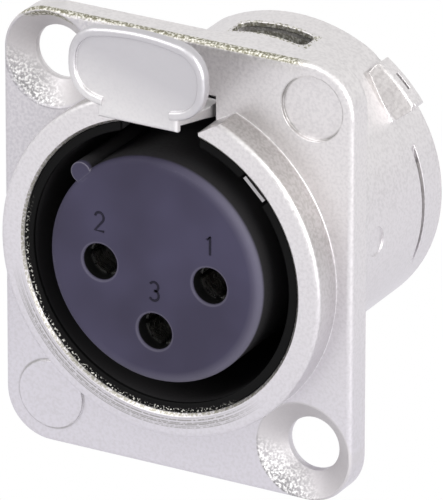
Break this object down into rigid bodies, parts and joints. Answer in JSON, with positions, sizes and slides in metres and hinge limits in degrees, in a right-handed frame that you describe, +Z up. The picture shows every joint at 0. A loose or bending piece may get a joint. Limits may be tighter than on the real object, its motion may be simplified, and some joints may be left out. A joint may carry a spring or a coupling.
{
  "type": "xlr panel socket",
  "caption": "Panel socket for a round plug: countersunk flange, open mouth with a moulded core, spring contacts and a push latch above.",
  "frame": {"origin": "on the bore's axis, in the plane of the flange's back face", "axes": "-Y out of the mouth, +Y along the rear tube, +Z up through the latch, +X to the right seen from the mouth"},
  "size_m": [0.026, 0.0269, 0.0331],
  "materials": {
    "cast_nickel": "satin",
    "black_plastic": "satin",
    "contact_metal": "satin",
    "spring_steel": "satin"
  },
  "bodies": {
    "root": {"housing": "cast_nickel", "insert_body": "black_plastic", "contact_retainer": "black_plastic", "retaining_clip": "spring_steel", "ground_contact": "spring_steel", "latch_pin": "spring_steel", "latch_spring": "spring_steel", "contact_1": "contact_metal", "contact_2": "contact_metal", "contact_3": "contact_metal"},
    "latch": {"push_latch": "cast_nickel"}
  },
  "joints": [
    {"name": "latch_rock", "type": "hinge", "parent": "root", "child": "latch", "pos_m": [0, 0.0012, 0.01006], "axis": [1, 0, 0], "range_deg": [0, 5.4], "stiffness_Nm_per_rad": 0.05, "springref_deg": -8.59, "deforming": ["latch_spring"]}
  ]
}
